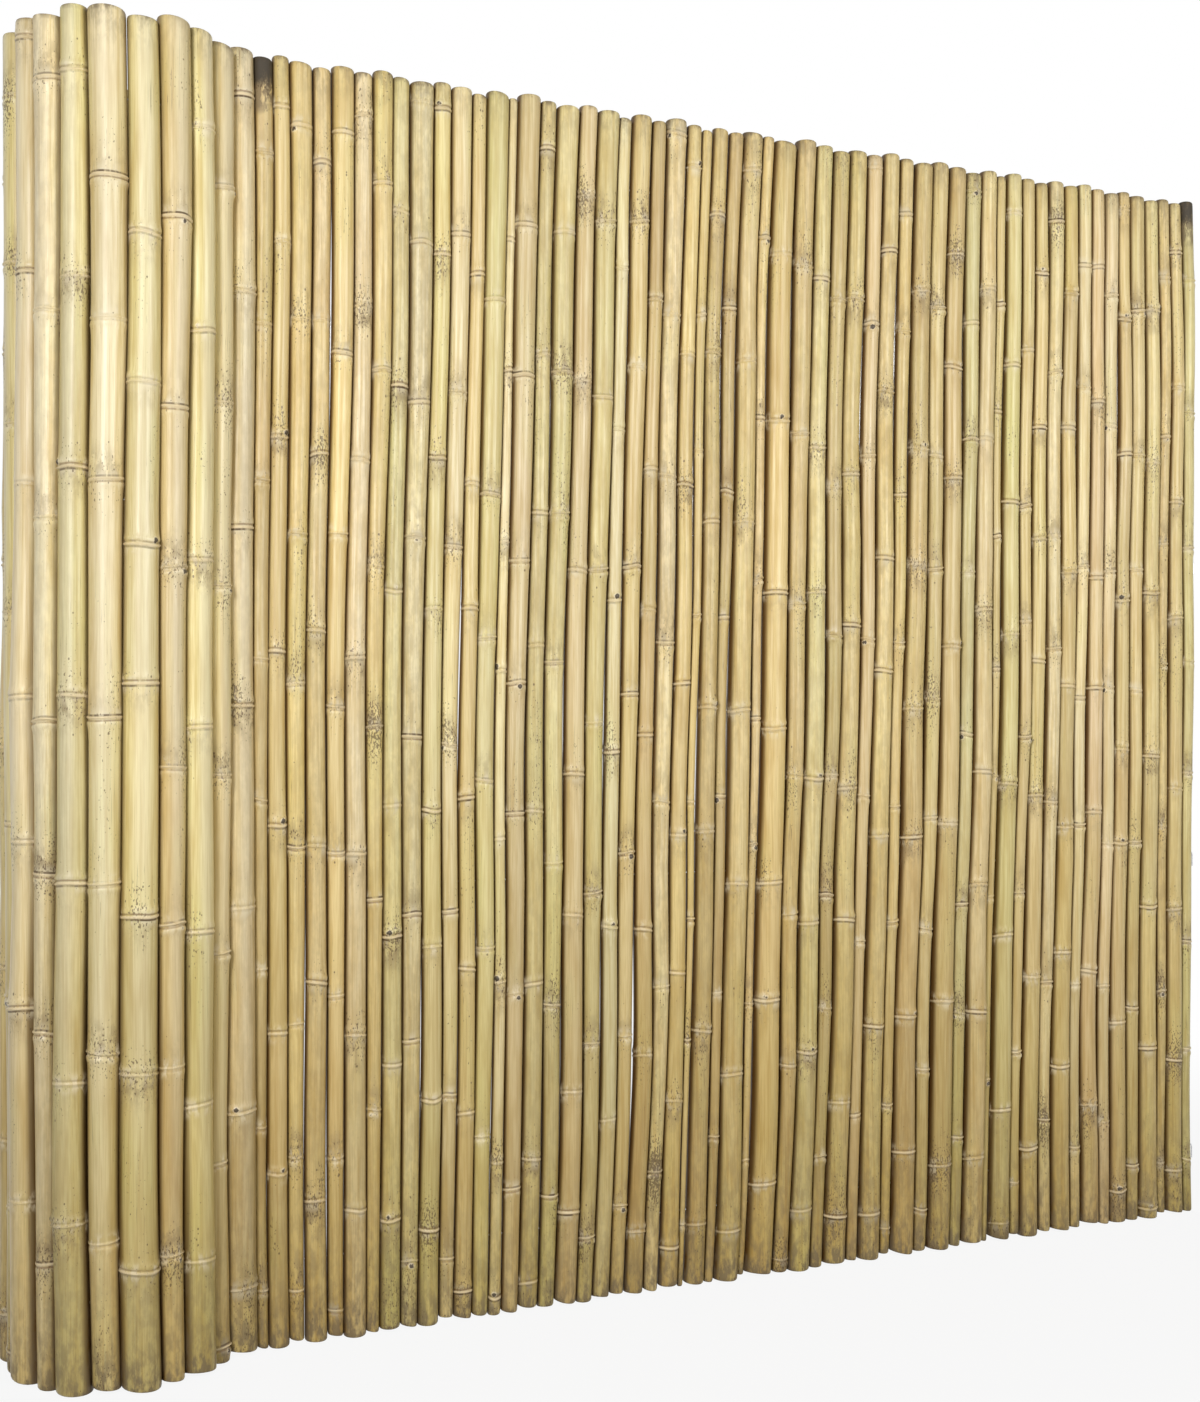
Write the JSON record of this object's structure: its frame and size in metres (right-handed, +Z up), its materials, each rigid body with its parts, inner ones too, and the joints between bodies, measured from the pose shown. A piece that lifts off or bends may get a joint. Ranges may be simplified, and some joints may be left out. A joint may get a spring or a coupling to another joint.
{
  "type": "bamboo screen roll",
  "caption": "Bamboo fence screen of upright canes threaded on wires, standing half unrolled: a flat run that curls into a roll at one end.",
  "frame": {"origin": "on the ground, under the middle of the whole screen's box", "axes": "+X along the flat run from the roll to its free end, +Y away from the front that the roll bulges towards, +Z up along the canes"},
  "size_m": [2.0049, 0.3257, 1.8],
  "materials": {
    "bamboo": "dry natural cane with a satin skin",
    "wire": "galvanised, dull"
  },
  "bodies": {
    "root": {"cane_pair_01": "bamboo", "cane_pair_02": "bamboo", "cane_pair_03": "bamboo", "cane_pair_04": "bamboo", "cane_pair_05": "bamboo", "cane_pair_06": "bamboo", "cane_pair_07": "bamboo", "cane_pair_08": "bamboo", "cane_pair_09": "bamboo", "cane_pair_10": "bamboo", "cane_pair_11": "bamboo", "cane_pair_12": "bamboo", "cane_pair_13": "bamboo", "cane_pair_14": "bamboo", "cane_pair_15": "bamboo", "cane_pair_16": "bamboo", "cane_pair_17": "bamboo", "cane_pair_18": "bamboo", "cane_pair_19": "bamboo", "cane_pair_20": "bamboo", "cane_pair_21": "bamboo", "cane_pair_22": "bamboo", "cane_pair_23": "bamboo", "cane_pair_24": "bamboo", "cane_pair_25": "bamboo", "cane_pair_26": "bamboo", "cane_pair_27": "bamboo", "cane_pair_28": "bamboo", "cane_pair_29": "bamboo", "cane_pair_30": "bamboo", "cane_pair_31": "bamboo", "cane_pair_32": "bamboo", "cane_pair_33": "bamboo", "cane_pair_34": "bamboo", "cane_pair_35": "bamboo", "cane_pair_36": "bamboo", "cane_pair_37": "bamboo", "cane_pair_38": "bamboo", "foot_wire": "wire", "lower_wire": "wire", "top_wire": "wire", "upper_wire": "wire"}
  },
  "joints": []
}
